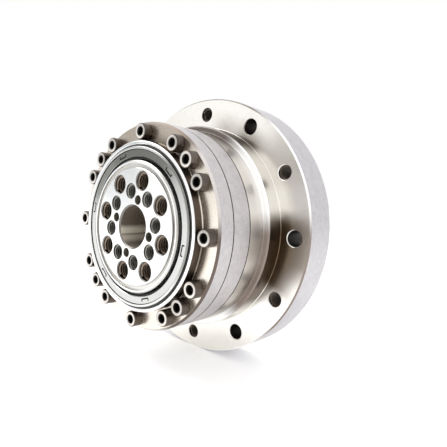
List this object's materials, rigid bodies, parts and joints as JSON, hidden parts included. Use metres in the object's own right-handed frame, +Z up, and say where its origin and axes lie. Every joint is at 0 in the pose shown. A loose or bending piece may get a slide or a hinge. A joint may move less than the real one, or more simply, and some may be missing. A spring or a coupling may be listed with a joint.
{
  "type": "strain wave gear",
  "caption": "Strain wave gear unit with a flanged housing, crossed roller output bearing, toothed flexible cup, oval wave generator and a bolted output flange.",
  "frame": {"origin": "centre of the mounting flange's rear face, on the gear axis", "axes": "+Y along the gear axis towards the motor side, output face towards -Y, +Z up"},
  "size_m": [0.098, 0.0464, 0.098],
  "materials": {
    "housing_steel": "fine turned satin",
    "ring_steel": "fine ground satin",
    "output_steel": "fine ground, bright",
    "screw_steel": "plated, slightly dark",
    "seal_steel": "pressed sheet",
    "rubber_black": "moulded rubber",
    "spring_steel": "drawn wire",
    "cup_steel": "turned and hobbed",
    "bearing_steel": "ground",
    "cage_plastic": "moulded nylon",
    "hub_steel": "turned"
  },
  "bodies": {
    "housing": {"mounting_housing": "housing_steel", "circular_spline": "ring_steel", "circular_spline_screws": "screw_steel", "bearing_rear_ring": "ring_steel", "bearing_front_ring": "ring_steel", "flange_screws": "screw_steel", "seal_case": "seal_steel", "seal_lip": "rubber_black", "seal_garter_spring": "spring_steel", "body_o_ring": "rubber_black", "mounting_o_ring": "rubber_black"},
    "output": {"output_flange": "output_steel", "flexspline": "cup_steel", "flexspline_clamp_ring": "ring_steel", "flexspline_bolts": "screw_steel", "dowel_pins": "bearing_steel"},
    "rollers": {"cross_rollers": "bearing_steel", "roller_spacers": "cage_plastic"},
    "wave_generator": {"wave_plug": "hub_steel", "wave_inner_race": "bearing_steel", "wave_balls": "bearing_steel", "wave_cage": "cage_plastic", "wave_outer_race": "bearing_steel", "oldham_ring": "hub_steel", "input_hub": "hub_steel", "hub_snap_ring": "spring_steel", "rub_plate": "spring_steel", "rub_plate_screws": "screw_steel"}
  },
  "joints": [
    {"name": "input_turn", "type": "hinge", "parent": "housing", "child": "wave_generator", "pos_m": [0, 0, 0], "axis": [0, -1, 0], "continuous": true, "deforming": ["flexspline"]},
    {"name": "output_turn", "type": "hinge", "parent": "housing", "child": "output", "pos_m": [0, 0, 0], "axis": [0, -1, 0], "continuous": true},
    {"name": "roller_turn", "type": "hinge", "parent": "housing", "child": "rollers", "pos_m": [0, 0, 0], "axis": [0, -1, 0], "continuous": true}
  ],
  "couplings": [
    {"joint": "output_turn", "follows": "input_turn", "ratio": -0.02},
    {"joint": "roller_turn", "follows": "input_turn", "ratio": -0.009456}
  ]
}
